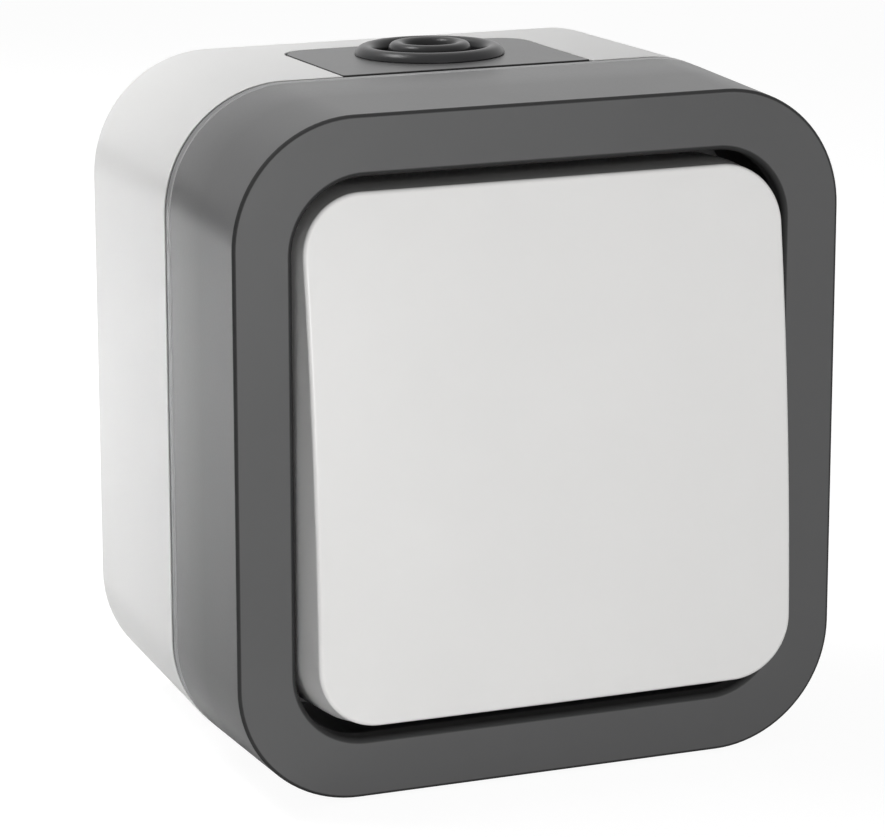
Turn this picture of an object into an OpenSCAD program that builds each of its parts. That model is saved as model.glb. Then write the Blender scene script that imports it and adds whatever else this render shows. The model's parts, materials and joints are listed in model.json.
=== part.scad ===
// Weatherproof rocker switch that is screwed to a wall. A light grey rear housing holds
// the mechanism, and a dark grey front frame closes it. The wide rocker stands in the
// frame's opening, with its upper edge pressed in. A rubber grommet in the dark entry
// plate on top lets the cable in.
// Each piece is drawn as the switch lies on its back: x to the right, y up towards the
// cable entry and z out of the wall. stand() then turns it upright, so that the wall is
// the plane y = 0 and the front looks along -Y.

/* [Box] */
// Width of the front frame at its front edge
front_w = 75.3; // [73:0.1:84]
// Height of the front frame at its front edge
front_h = 80.3; // [78:0.1:90]
// Radius of the box's four long corners
corner_r = 14.7; // [12:0.1:16]
// Depth of the rear housing, from the wall to the joint
housing_depth = 29.8; // [29:0.1:34]
// Depth of the front frame, from the joint to its front face
frame_depth = 22.9; // [21.5:0.1:25]
// How far each side of the housing draws in from the joint to the wall
housing_draft = 0.6; // [0.2:0.1:1]
// How far each side of the frame draws in from the joint to its front edge
frame_draft = 0.44; // [0.2:0.02:0.8]
// Side wall of the rear housing
housing_wall = 2.3; // [2:0.1:2.6]
// Back wall of the rear housing
back_wall = 2.6; // [2.2:0.1:3.2]
// Side wall of the front frame
frame_wall = 2.2; // [1.8:0.1:2.3]
// Front wall of the front frame
frame_face = 2.4; // [1.8:0.1:2.8]
// Rounding of the frame's front edge
frame_edge_r = 0.35; // [0.2:0.05:0.9]
// Width of the frame's front, from its edge to the opening
frame_border = 7.1; // [5.5:0.05:8]
// Rounding of the edge of the frame's opening
opening_edge_r = 0.6; // [0.3:0.05:1.2]
// Corner radius of the frame's opening
opening_r = 8.6; // [7:0.1:10]
// Depth of the shallow band at the rear of the frame, next to the joint
band_depth = 1.5; // [1:0.1:2.5]
// How far the band's front lies below the frame's side
band_step = 0.14; // [0.05:0.01:0.3]
// How much further the band draws in towards the joint
band_draft = 0.08; // [0:0.01:0.2]

/* [Rocker] */
// Corner radius of the rocker's face
rocker_r = 7.3; // [6:0.1:9]
// Wall of the rocker
rocker_wall = 1.8; // [1.4:0.1:2]
// Depth of the rocker's skirt behind the edge of its face
skirt_depth = 15.6; // [13:0.1:15.8]
// Rounding of the edge of the rocker's face
rocker_edge_r = 0.45; // [0.3:0.05:1]
// Radius of the face's crown, from the upper to the lower edge
crown_r = 379; // [250:1:900]
// Gap between the rocker and the opening at each side
side_gap = 0.8; // [0.7:0.05:2]
// Gap between the level rocker and the opening at its ends
end_gap = 2.35; // [2.2:0.05:3]
// Height of the rocker's face above its pivot
rocker_rise = 11.7; // [11.2:0.1:12.5]
// Distance of the pivot behind the frame's front face
pivot_back = 7.24; // [6.5:0.02:8]
// Angle by which the rocker leans from its level position, in degrees
rocker_tilt = 4.955; // [3.5:0.005:5]

/* [Cable entry] */
// Width of the entry plate
entry_w = 32; // [28:0.5:34]
// Distance of the entry plate's rear edge from the wall
entry_rear = 6.3; // [6:0.1:6.8]
// Radius of the entry plate's rear corners
entry_r = 4; // [2:0.1:6]
// Place of the entry plate's middle, to the right of the box's middle
entry_x = 0.2; // [-1:0.1:1]
// Outer radius of the grommet's outer bead
grommet_r = 9.1; // [8:0.1:9.2]
// Distance of the grommet's axis from the wall
grommet_z = 16; // [15.5:0.1:17]
// Place of the grommet's axis, to the right of the box's middle
grommet_x = 0.6; // [-1:0.1:1]

/* [Mechanism] */
// Width of the mechanism's base
mech_w = 42; // [41:0.5:44]
// Height of the mechanism's base
mech_h = 38; // [37.5:0.1:38.4]
// Depth of the mechanism's base
mech_depth = 21; // [20.5:0.1:22]
// Distance from the rocker's pivot back to the support plate
pivot_to_plate = 12.5; // [12.3:0.1:12.7]
// Distance from the rocker's pivot back to the contact lever's pivot
pivot_to_lever = 13; // [12.9:0.05:13.1]
// Thickness of the steel support plate
plate_t = 1.2; // [1:0.1:1.5]
// Length of each arm of the contact lever, to its contact
lever_arm = 9; // [8.5:0.1:9.4]
// How many degrees the contact lever turns for each degree of the rocker
lever_ratio = 2; // [1.6:0.1:2]

/* [Fixing] */
// Distance of each wall fixing hole from the side of the box
hole_side = 17.65; // [16.5:0.05:18.5]
// Distance of each wall fixing hole from the end of the box
hole_end = 9.15; // [8.5:0.05:9.5]
// Radius of the wall fixing holes
wall_hole_r = 2.25; // [1.8:0.05:2.6]

/* [Hidden] */
$fn = 64;
overrun = 1;
slip = 0.1;
corner_steps = 20;
fillet_steps = 4;

// Levels out of the wall, from the housing to the front
z_joint = housing_depth;
z_front = housing_depth + frame_depth;
z_pivot = z_front - pivot_back;
z_plate = z_pivot - pivot_to_plate;
z_plate_top = z_plate + plate_t;
z_lever = z_pivot - pivot_to_lever;

// Half sizes of the box at its front edge, at the joint and at the wall
front_x = front_w / 2;
front_y = front_h / 2;
joint_x = front_x + frame_draft;
joint_y = front_y + frame_draft;
wall_x = joint_x - housing_draft;
wall_y = joint_y - housing_draft;

function between(a, b, t) = a + (b - a) * t;
function side_x(z) = z < z_joint ? between(wall_x, joint_x, z / z_joint)
                                 : between(joint_x, front_x, (z - z_joint) / frame_depth);
function side_y(z) = z < z_joint ? between(wall_y, joint_y, z / z_joint)
                                 : between(joint_y, front_y, (z - z_joint) / frame_depth);

// Seal carrier: a tray inside the frame, with the rocker's well on its floor
floor_t = 1.8;
plate_gap = 0.8;
z_floor = z_plate_top + plate_gap;
z_floor_top = z_floor + floor_t;
carrier_slip = 0.3;
well_slip = 0.35;
well_wall = 1.5;
well_gap = 0.4;
opening_x = front_x - frame_border;
opening_y = front_y - frame_border;
well_x = opening_x + well_slip;
well_y = opening_y + well_slip;
well_r = opening_r + well_slip;
z_well_top = z_front - frame_face - well_gap;

// Tongue of the housing, which stands inside the frame, and the gasket on it
gasket_h = 2;
tongue_t = 1.3;
tongue_slip = 0.2;
tongue_root = 3.8;
tongue_bite = 0.8;
tongue_x = joint_x - frame_wall - tongue_slip;
tongue_y = joint_y - frame_wall - tongue_slip;
tongue_r = corner_r - frame_wall - tongue_slip;
z_tongue = z_floor - gasket_h;

// Rear housing: posts, bosses and the recess in its back
post_r = 3.1;
post_gap = 0.4;
post_end = 4.8;
support_x = mech_w / 2 + post_gap + post_r;
support_y = mech_h / 2 - post_end;
carrier_side = 6.7;
carrier_end = 9.7;
carrier_screw_x = well_x - carrier_side;
carrier_screw_y = well_y - carrier_end;
hole_x = front_x - hole_side;
hole_y = front_y - hole_end;
pilot_r = 1.25;
pilot_depth = 12;
boss_r = 5.2;
boss_h = 2.6;
seal_r = 4;
seal_t = 1.2;
seal_seat = 0.9;
pad_r = 4.6;
wall_rim = 3;
wall_recess = 0.8;
rib_t = 1.4;
rib_h = 1.6;
rib_x = 10;
rib_y = 25;
knockout_r = 8;
knockout_w = 1;
knockout_depth = 0.6;

// Entry plate
entry_gap = 0.35;
entry_slip = 0.08;
flange_t = 1.3;
flange_lap = 1.6;
flange_slip = 0.05;

// Grommet: radii and heights of its two beads above the plate
bead_lap = 1.1;
bead_slope = 2.3;
bead_w = 3;
neck_r = grommet_r - bead_lap;
crest_r = grommet_r - bead_slope;
crest_h = 0.95;
valley_r = grommet_r - bead_w;
valley_h = -0.6;
bead_r = 4.94;
bead_mid_h = 0.9;
bead_h = 1.55;
bead_hole_r = 3.05;
membrane_h = -1;
membrane_t = 0.5;
grommet_lip = 1.4;
lip_over = 0.2;
grommet_lip_r = grommet_r + lip_over;
neck_slip = 0.06;
lip_slip = 0.05;

// Rocker, drawn level about its pivot
rocker_x = opening_x - side_gap;
rocker_y = opening_y - end_gap;
side_crown = 0.3;
skirt_flare = 0.5;
flare_depth = 5;
skirt_flare_rear = 0.6;
face_inner_shares = [0.75, 0.5, 0.25];
side_steps = 8;
end_steps = 3;
socket_x = 8;
socket_y = 11.5;
socket_r = 2.6;
stud_r = 1.4;
stud_h = 4;
rocker_rib_t = 1.2;
rocker_rib_z = 6.2;

// Cradle
cradle_x = 13.4;
cradle_y = 16;
cradle_t = 2;
cradle_z = 2.6;
cheek_t = 1.8;
cheek_y = 6;
end_wall_t = 1.6;
end_wall_x = 10;
end_wall_z = 2;
trunnion_r = 2;
trunnion_slip = 0.06;
guide_r = 3.6;
guide_bore = 2.1;
guide_low = 7;
guide_roof = 1.2;

// Plunger and its spring
plunger_slip = 0.08;
tip_r = 1.5;
tip_gap = 0.1;
plunger_step = 4.3;
plunger_shoulder = 3.4;
spigot_r = 1;
spigot_h = 1.8;
spring_gap = 0.35;
spring_wire_r = 0.2;
spring_turns = 6;
spring_sides = 8;
spring_steps = 16;

// Mechanism cover
cover_x = 18.5;
cover_y = 17.5;
cover_r = 3;
cover_h = 3.3;
cover_roof = 1.6;
hollow_x = 15;
hollow_y = 12.5;
ear_gap = 0.6;
ear_t = 2.6;
ear_y = 3.4;
ear_foot = 2.6;
slot_x = 2.45;
slot_y = 3.3;
stop_x = 6;
stop_y = 15.2;
stop_r = 1.3;
stop_gap = 0.15;
z_cover_top = z_plate_top + cover_h;

// Seal between the mechanism cover and the carrier
throat_gap = 0.6;
throat_seal_w = 3.4;
throat_seal_t = 1.2;
throat_lip = 0.45;
throat_lip_h = 1.5;

// Support plate
support_edge = 3.2;
support_half_x = support_x + support_edge;
support_over = 0.6;
support_half_y = mech_h / 2 + support_over;
support_r = 4;
aperture_x = 15.5;
aperture_y = 13;

// Screws
screw_r = 1.4;
screw_core = 1.2;
pan_r = 2.8;
pan_h = 1.8;
flat_r = 2.6;
slot_w = 0.7;
slot_depth = 0.8;
screw_hole_r = 1.7;
support_screw_l = 9;
carrier_screw_l = 10;
mech_screw_x = 15.8;
mech_screw_y = 15;
mech_screw_r = 1.1;
mech_head_r = 2;
mech_head_h = 1;
mech_screw_l = 9;
pilot_over = 2;

// Contact lever and contacts
lever_t = 1.2;
lever_half_x = 2.6;
lever_hub_x = 3.1;
lever_hub_y = 3;
lever_end = 2;
pin_r = 1;
pin_slip = 0.06;
pin_in = 2;
lug_x = 3.4;
lug_t = 1;
lug_y = 2.2;
lug_over = 1.6;
contact_sphere = 2.2;
contact_r = 1.6;
contact_head_r = 1.2;
contact_head_h = 0.25;
contact_stem_r = 0.8;
contact_stem_slip = 0.02;
contact_gap = 0.1;
button_h = 0.8;
lever_rest = lever_ratio * rocker_tilt;
button_y = lever_arm * cos(lever_rest);
z_button = z_lever - lever_arm * sin(lever_rest) - contact_sphere - contact_gap;
strip_t = 0.8;
strip_w = 5;
strip_slip = 0.1;
strip_over = 2.5;
z_strip = z_button - button_h - strip_t;

// Terminals
terminal_x = 14.5;
clamp_x = 7;
clamp_y = 8;
clamp_h = 9;
clamp_wall = 1.1;
clamp_slip = 0.2;
clamp_seat = 0.05;
z_clamp = z_strip + strip_t + clamp_seat + clamp_wall - clamp_h;
terminal_screw_l = 8.5;
terminal_head_z = 1.2;
terminal_head_r = 2.7;
terminal_head_h = 2;
well_r_slip = 0.3;
well_step = 1.2;
port_r = 1.8;
cavity_x = 5.6;
cavity_y = 12.8;
mech_corner_r = 2;
z_mech = z_plate - mech_depth;

// Turn a piece from lying on its back to standing on its lower side
module stand() {
    rotate([90, 0, 0]) children();
}

// Place a piece that is drawn level about the rocker's pivot, leaning as at rest
module at_pivot() {
    translate([0, 0, z_pivot]) rotate([-rocker_tilt, 0, 0]) children();
}

// Flat rounded rectangle from its half sizes
module rounded(x, y, r) {
    square([2 * (x - r), 2 * y], center = true);
    square([2 * x, 2 * (y - r)], center = true);
    for (i = [-1, 1], j = [-1, 1])
        translate([i * (x - r), j * (y - r)]) circle(r);
}

// Straight block with rounded corners between two levels
module slab(x, y, r, z0, z1) {
    translate([0, 0, z0]) linear_extrude(z1 - z0) rounded(x, y, r);
}

// Upright bar between two levels
module bar(x0, x1, y0, y1, z0, z1) {
    translate([x0, y0, z0]) cube([x1 - x0, y1 - y0, z1 - z0]);
}

// Round post between two levels
module post(x, y, r, z0, z1) {
    translate([x, y, z0]) cylinder(r = r, h = z1 - z0);
}

// Ring of points round a rounded rectangle at one level
function ring(x, y, r, z) =
    [for (c = [0:3], i = [0:corner_steps])
        let (a = 90 * c + 90 * i / corner_steps,
             sx = (c == 0 || c == 3) ? 1 : -1,
             sy = c < 2 ? 1 : -1)
        [sx * (x - r) + r * cos(a), sy * (y - r) + r * sin(a), z]];

// Solid through a list of rings, each with the same number of points. Its ends are flat, or
// fans that run to two middle points.
module loft(rings, middles = []) {
    n = len(rings[0]);
    last = len(rings) - 1;
    points = concat([for (ring_points = rings) for (p = ring_points) p], middles);
    foot = (last + 1) * n;
    sides = [for (k = [0:last - 1], i = [0:n - 1], half = [0, 1])
        let (j = (i + 1) % n)
        half == 0 ? [k * n + i, (k + 1) * n + i, (k + 1) * n + j]
                  : [k * n + i, (k + 1) * n + j, k * n + j]];
    ends = len(middles) == 0
        ? [[for (i = [0:n - 1]) i], [for (i = [n - 1:-1:0]) last * n + i]]
        : [for (i = [0:n - 1], end = [0, 1])
            end == 0 ? [i, (i + 1) % n, foot]
                     : [last * n + (i + 1) % n, last * n + i, foot + 1]];
    polyhedron(points = points, faces = concat(sides, ends), convexity = 6);
}

// The box's outer form between two levels, drawn in by an inset
module box_form(z0, z1, inset = 0) {
    loft([for (z = [z0, z1])
        ring(side_x(z) - inset, side_y(z) - inset, corner_r - inset, z)]);
}

// Ring that stands on the housing's wall and reaches into the frame
module tongue() {
    difference() {
        union() {
            slab(tongue_x, tongue_y, tongue_r, z_joint - tongue_root, z_tongue);
            slab(tongue_x + tongue_bite, tongue_y + tongue_bite, tongue_r + tongue_bite,
                 z_joint - tongue_root, z_joint - entry_gap);
        }
        slab(tongue_x - tongue_t, tongue_y - tongue_t, tongue_r - tongue_t,
             z_joint - tongue_root - overrun, z_tongue + overrun);
    }
}

// Outline of the entry plate in the housing's upper wall, seen from above
module entry_outline(grow = 0) {
    half = entry_w / 2 + grow;
    r = entry_r + grow;
    reach = z_tongue + overrun;
    translate([entry_x, 0]) {
        translate([-half, entry_rear - grow + r]) square([2 * half, reach - entry_rear + grow - r]);
        translate([-half + r, entry_rear - grow]) square([2 * (half - r), 2 * r]);
        for (i = [-1, 1])
            translate([i * (half - r), entry_rear - grow + r]) circle(r);
    }
}

// The entry outline carried through the upper wall
module entry_prism(grow = 0) {
    depth = 2 * (housing_wall + flange_t) + tongue_t + tongue_bite;
    translate([0, joint_y + overrun, 0])
        rotate([90, 0, 0]) linear_extrude(depth + overrun) entry_outline(grow);
}

// Place a piece on the outside of the entry plate, its z axis out of the box
module on_entry() {
    lean = atan(housing_draft / housing_depth);
    translate([grommet_x, side_y(grommet_z), grommet_z]) rotate([-90 - lean, 0, 0]) children();
}

module rear_housing() {
    color("gainsboro") stand() difference() {
        union() {
            difference() {
                box_form(0, z_joint);
                box_form(back_wall, z_joint + overrun, housing_wall);
            }
            tongue();
            for (i = [-1, 1]) {
                post(i * support_x, i * support_y, post_r, back_wall - slip, z_plate);
                post(i * carrier_screw_x, -i * carrier_screw_y, post_r, back_wall - slip, z_floor);
                bar(i * rib_x - rib_t / 2, i * rib_x + rib_t / 2, -rib_y, rib_y,
                    back_wall - slip, back_wall + rib_h);
            }
            for (i = [-1, 1], j = [-1, 1])
                post(i * hole_x, j * hole_y, boss_r,
                     back_wall - slip, back_wall + boss_h);
        }
        entry_prism();
        housing_holes();
    }
}

// What is cut out of the housing: holes, the recess in its back and the knock-out ring
module housing_holes() {
    for (i = [-1, 1]) {
        post(i * support_x, i * support_y, pilot_r, z_plate - pilot_depth, z_plate + overrun);
        post(i * carrier_screw_x, -i * carrier_screw_y, pilot_r,
             z_floor - pilot_depth, z_floor + overrun);
    }
    for (i = [-1, 1], j = [-1, 1]) {
        x = i * hole_x;
        y = j * hole_y;
        post(x, y, wall_hole_r, -overrun, back_wall + boss_h + overrun);
        post(x, y, seal_r + slip, back_wall + boss_h - seal_seat, back_wall + boss_h + overrun);
    }
    difference() {
        slab(wall_x - wall_rim, wall_y - wall_rim, corner_r - wall_rim, -overrun, wall_recess);
        for (i = [-1, 1], j = [-1, 1])
            post(i * hole_x, j * hole_y, pad_r, -2 * overrun, z_joint);
    }
    translate([0, -side_y(grommet_z) + knockout_depth, grommet_z]) rotate([90, 0, 0])
        difference() {
            cylinder(r = knockout_r, h = knockout_depth + overrun);
            translate([0, 0, -overrun])
                cylinder(r = knockout_r - knockout_w, h = knockout_depth + 3 * overrun);
        }
}

module entry_plate() {
    inner = housing_wall + flange_t;
    color("dimgray") stand() difference() {
        union() {
            intersection() {
                union() {
                    difference() {
                        box_form(0, z_joint - entry_gap);
                        box_form(-overrun, z_joint + overrun, inner);
                    }
                    tongue();
                }
                entry_prism(-entry_slip);
            }
            intersection() {
                difference() {
                    box_form(back_wall + slip, z_joint - tongue_root - slip,
                             housing_wall + flange_slip);
                    box_form(-overrun, z_joint, inner);
                }
                entry_prism(flange_lap);
            }
        }
        on_entry() cylinder(r = neck_r + neck_slip, h = 4 * inner, center = true);
    }
}

// Points of an arc of an ellipse about a middle point, from one angle to another
function sweep(mid, rx, ry, a0, a1, steps = 10) =
    [for (i = [0:steps])
        let (a = between(a0, a1, i / steps)) [mid[0] + rx * cos(a), mid[1] + ry * sin(a)]];

// Section of the grommet: the outer bead, the valley, the inner bead and the membrane
module grommet_section() {
    inner = housing_wall + flange_t;
    low = -inner - grommet_lip;
    bead_mid = (bead_r + bead_hole_r) / 2;
    polygon(concat(
        [[0, membrane_h], [0, membrane_h - membrane_t],
         [bead_hole_r, membrane_h - membrane_t],
         [valley_r - membrane_t, low], [grommet_lip_r, low],
         [grommet_lip_r, -inner - lip_slip], [neck_r, -inner - lip_slip], [neck_r, lip_slip]],
        sweep([crest_r, lip_slip], grommet_r - crest_r, crest_h - lip_slip, 0, 90),
        sweep([crest_r, valley_h], crest_r - valley_r, crest_h - valley_h, 90, 180),
        [[bead_r, valley_h]],
        sweep([bead_mid, bead_mid_h], bead_r - bead_mid, bead_h - bead_mid_h, 0, 180),
        [[bead_hole_r, membrane_h]]));
}

module cable_grommet() {
    color([0.12, 0.12, 0.12]) stand() on_entry() rotate_extrude($fn = 96) grommet_section();
}

// Washers that seal the screws in the back wall
module screw_seals() {
    z = back_wall + boss_h - seal_seat;
    color([0.15, 0.15, 0.15]) stand()
        for (i = [-1, 1], j = [-1, 1])
            translate([i * hole_x, j * hole_y, z]) difference() {
                cylinder(r = seal_r, h = seal_t);
                translate([0, 0, -overrun])
                    cylinder(r = wall_hole_r + slip, h = seal_t + 2 * overrun);
            }
}

module housing_gasket() {
    color([0.1, 0.1, 0.1]) stand() difference() {
        slab(tongue_x - slip, tongue_y - slip, tongue_r - slip, z_tongue, z_floor);
        slab(tongue_x - tongue_t, tongue_y - tongue_t, tongue_r - tongue_t,
             z_tongue - overrun, z_floor + overrun);
    }
}

// Where the frame's snap arms stand, on both sides of the well
arm_y = 16;
arm_half = 3.5;
arm_t = 1.4;
arm_low = 7.2;
arm_gap = 0.2;
nose = 0.9;
nose_h = 1.5;
window_slip = 0.4;

module seal_carrier() {
    inset = frame_wall + carrier_slip;
    z_arm = z_front - frame_face - arm_low;
    color([0.13, 0.13, 0.13]) stand() difference() {
        union() {
            slab(side_x(z_floor_top) - inset, side_y(z_floor_top) - inset, corner_r - inset,
                 z_floor, z_floor_top);
            slab(well_x + well_wall, well_y + well_wall, well_r + well_wall,
                 z_floor, z_well_top);
        }
        slab(well_x, well_y, well_r, z_floor_top, z_well_top + overrun);
        slab(cover_x + throat_gap, cover_y + throat_gap, cover_r + throat_gap,
             z_floor - overrun, z_floor_top + overrun);
        for (i = [-1, 1])
            post(i * carrier_screw_x, -i * carrier_screw_y, screw_hole_r,
                 z_floor - overrun, z_floor_top + overrun);
        for (i = [-1, 1])
            bar(-well_x - well_wall - overrun, well_x + well_wall + overrun,
                i * arm_y - arm_half - window_slip, i * arm_y + arm_half + window_slip,
                z_arm - window_slip, z_arm + nose_h + window_slip);
    }
}

// Rubber ring between the mechanism cover and the carrier's floor
module throat_seal() {
    in_x = cover_x + slip / 2;
    in_y = cover_y + slip / 2;
    in_r = cover_r + slip / 2;
    color([0.1, 0.1, 0.1]) stand() difference() {
        union() {
            slab(in_x + throat_seal_w, in_y + throat_seal_w, in_r + throat_seal_w,
                 z_floor_top, z_floor_top + throat_seal_t);
            slab(in_x + throat_lip, in_y + throat_lip, in_r + throat_lip,
                 z_floor_top - throat_lip_h, z_floor_top + throat_seal_t);
        }
        slab(in_x, in_y, in_r, z_floor, z_floor_top + throat_seal_t + overrun);
    }
}

// Half sizes and level of the frame's outline at a point of its rounded front edge
function frame_edge_ring(a) =
    let (in = frame_edge_r * (1 - cos(a)), z = z_front - frame_edge_r * (1 - sin(a)))
    ring(side_x(z) - in, side_y(z) - in, corner_r - in, z);

// Outline of the opening at a point of its rounded edge
function opening_ring(a) =
    let (out = opening_edge_r * (1 - cos(a)), z = z_front - opening_edge_r * (1 - sin(a)))
    ring(opening_x + out, opening_y + out, opening_r + out, z);

// A snap arm on the frame's left side, with its nose towards the well
module snap_arm() {
    x = -(well_x + well_wall + arm_gap);
    z = z_front - frame_face - arm_low;
    bar(x - arm_t, x, -arm_half, arm_half, z, z_front - frame_face + slip);
    translate([x, arm_half, z]) rotate([90, 0, 0]) linear_extrude(2 * arm_half)
        polygon([[-slip, 0], [0, 0], [nose, nose_h / 2], [nose, nose_h], [-slip, nose_h]]);
}

module front_frame() {
    ramp = 4 * band_step;
    z_band = z_joint + band_depth;
    z_in = z_front - frame_face;
    inner = [for (z = [z_joint - overrun, z_in])
        ring(side_x(z) - frame_wall, side_y(z) - frame_wall, corner_r - frame_wall, z)];
    color([0.3, 0.3, 0.3]) stand() {
        difference() {
            loft(concat(
                [for (end = [[z_joint, band_step + band_draft], [z_band, band_step]])
                    ring(side_x(end[0]) - end[1], side_y(end[0]) - end[1],
                         corner_r - end[1], end[0])],
                [ring(side_x(z_band + ramp), side_y(z_band + ramp), corner_r, z_band + ramp)],
                [for (i = [0:fillet_steps]) frame_edge_ring(90 * i / fillet_steps)]));
            loft(inner);
            loft(concat(
                [ring(opening_x, opening_y, opening_r, z_in - overrun)],
                [for (i = [0:fillet_steps]) opening_ring(90 * i / fillet_steps)],
                [ring(opening_x + opening_edge_r, opening_y + opening_edge_r,
                      opening_r + opening_edge_r, z_front + overrun)]));
        }
        for (i = [0, 1], j = [-1, 1])
            mirror([i, 0, 0]) translate([0, j * arm_y, 0]) snap_arm();
    }
}

// Outline of the rocker with points along its sides too, so that the crown can follow it
function rocker_outline(out) =
    let (x = rocker_x + out, y = rocker_y + out, r = rocker_r + out,
         arc = [for (i = [0:corner_steps / 2]) 180 * i / corner_steps],
         up = [for (i = [1:side_steps - 1]) i / side_steps],
         across = [for (i = [1:end_steps - 1]) i / end_steps])
    concat(
        [for (a = arc) [x - r + r * cos(a), y - r + r * sin(a)]],
        [for (t = across) [between(x - r, r - x, t), y]],
        [for (a = arc) [r - x - r * sin(a), y - r + r * cos(a)]],
        [for (t = up) [-x, between(y - r, r - y, t)]],
        [for (a = arc) [r - x - r * cos(a), r - y - r * sin(a)]],
        [for (t = across) [between(r - x, x - r, t), -y]],
        [for (a = arc) [x - r + r * sin(a), r - y - r * cos(a)]],
        [for (t = up) [x, between(r - y, y - r, t)]]);

// Level of the rocker's crowned face at a point, less a depth
function face_z(p, depth) =
    rocker_rise - p[1] * p[1] / (2 * crown_r) - side_crown * pow(p[0] / rocker_x, 2) - depth;

function skirt_ring(out, depth) = [for (p = rocker_outline(out)) [p[0], p[1], face_z(p, depth)]];
function rear_ring(out, z) = [for (p = rocker_outline(out)) [p[0], p[1], z]];
function face_rings(out, depth) =
    [for (s = face_inner_shares)
        [for (p = rocker_outline(out)) [s * p[0], s * p[1], face_z(s * p, depth)]]];

skirt_z = rocker_rise - rocker_y * rocker_y / (2 * crown_r) - skirt_depth;

// The rocker's outer form, or its hollow when a wall is given
module rocker_form(wall = 0) {
    below = wall > 0 ? overrun : 0;
    r = wall > 0 ? rocker_edge_r / 2 : rocker_edge_r;
    loft(concat(
        [rear_ring(skirt_flare_rear - wall, skirt_z - below),
         skirt_ring(skirt_flare - wall, flare_depth + wall)],
        [for (i = [0:fillet_steps])
            let (a = 90 * i / fillet_steps)
            skirt_ring(-r * (1 - cos(a)) - wall, wall + r * (1 - sin(a)))],
        face_rings(-r - wall, wall)),
        [[0, 0, skirt_z - below], [0, 0, face_z([0, 0], wall)]]);
}

module rocker() {
    reach = rocker_y - rocker_wall / 2;
    color("gainsboro") stand() at_pivot() {
        difference() {
            union() {
                difference() {
                    rocker_form();
                    rocker_form(rocker_wall);
                }
                intersection() {
                    rocker_form(rocker_wall / 2);
                    union() {
                        for (i = [-1, 1])
                            bar(i * socket_x - rocker_rib_t / 2, i * socket_x + rocker_rib_t / 2,
                                -reach, reach, rocker_rib_z, rocker_rise);
                        for (i = [-1, 1], j = [-1, 1])
                            post(i * socket_x, j * socket_y, socket_r,
                                 cradle_z + cradle_t, rocker_rise);
                    }
                }
            }
            for (i = [-1, 1], j = [-1, 1])
                post(i * socket_x, j * socket_y, stud_r + slip,
                     cradle_z, cradle_z + cradle_t + stud_h + 2 * slip);
        }
    }
}

module rocker_cradle() {
    top = cradle_z + cradle_t;
    color("white") stand() at_pivot() difference() {
        union() {
            bar(-cradle_x, cradle_x, -cradle_y, cradle_y, cradle_z, top);
            for (i = [-1, 1]) {
                bar(i * (cradle_x - cheek_t / 2) - cheek_t / 2,
                    i * (cradle_x - cheek_t / 2) + cheek_t / 2,
                    -cheek_y, cheek_y, -cradle_z, cradle_z + slip);
                bar(-end_wall_x, end_wall_x, i * (cradle_y - end_wall_t / 2) - end_wall_t / 2,
                    i * (cradle_y - end_wall_t / 2) + end_wall_t / 2,
                    -end_wall_z, cradle_z + slip);
                translate([i * (cradle_x - slip), 0, 0]) rotate([0, i * 90, 0])
                    cylinder(r = trunnion_r, h = ear_gap + ear_t + slip);
            }
            bar(-cradle_x + slip, cradle_x - slip, -cheek_t / 2, cheek_t / 2,
                -cradle_z, cradle_z + slip);
            post(0, 0, guide_r, -guide_low, cradle_z + slip);
            for (i = [-1, 1], j = [-1, 1])
                post(i * socket_x, j * socket_y, stud_r, cradle_z, top + stud_h);
        }
        post(0, 0, guide_bore, -guide_low - overrun, cradle_z - guide_roof);
    }
}

module plunger() {
    tip = pivot_to_lever - tip_gap;
    color("silver") stand() at_pivot() {
        post(0, 0, guide_bore - plunger_slip, plunger_step - tip, -plunger_shoulder);
        post(0, 0, tip_r, tip_r - tip, -plunger_shoulder);
        translate([0, 0, tip_r - tip]) sphere(tip_r);
        post(0, 0, spigot_r, -plunger_shoulder, spigot_h - plunger_shoulder);
    }
}

// Coil spring between the plunger's shoulder and the roof of the guide
module plunger_spring() {
    low = spring_gap + spring_wire_r - plunger_shoulder;
    high = cradle_z - guide_roof - spring_wire_r - slip / 2;
    coil_r = guide_bore - 2 * slip - spring_wire_r;
    steps = spring_turns * spring_steps;
    rings = [for (i = [0:steps])
        let (a = 360 * i / spring_steps, z = between(low, high, i / steps))
        [for (s = [0:spring_sides - 1])
            let (b = 360 * s / spring_sides, r = coil_r + spring_wire_r * cos(b))
            [r * cos(a), r * sin(a), z + spring_wire_r * sin(b)]]];
    color("lightsteelblue") stand() at_pivot() mirror([0, 1, 0]) loft(rings);
}

module mechanism_cover() {
    ear_x = cradle_x + ear_gap;
    stop_drop = end_wall_z * cos(rocker_tilt) + cradle_y * sin(rocker_tilt) + stop_gap;
    color("whitesmoke") stand() difference() {
        union() {
            slab(cover_x, cover_y, cover_r, z_plate_top, z_cover_top);
            for (i = [-1, 1]) {
                translate([i * (ear_x + ear_t / 2), 0, 0]) ear();
                for (j = [-1, 1])
                    post(i * stop_x, j * stop_y, stop_r, z_cover_top - slip, z_pivot - stop_drop);
            }
        }
        slab(hollow_x, hollow_y, cover_r, z_plate_top - overrun, z_cover_top - cover_roof);
        bar(-slot_x, slot_x, -slot_y, slot_y, z_plate_top, z_cover_top + overrun);
        translate([-ear_x - 2 * ear_t, 0, z_pivot]) rotate([0, 90, 0])
            cylinder(r = trunnion_r + trunnion_slip, h = 2 * ear_x + 4 * ear_t);
        for (i = [-1, 1]) {
            post(i * mech_screw_x, -i * mech_screw_y, mech_screw_r + slip,
                 z_plate_top - overrun, z_cover_top + overrun);
            post(i * mech_screw_x, -i * mech_screw_y, mech_head_r + slip,
                 z_cover_top - mech_head_h, z_cover_top + overrun);
        }
    }
}

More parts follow.
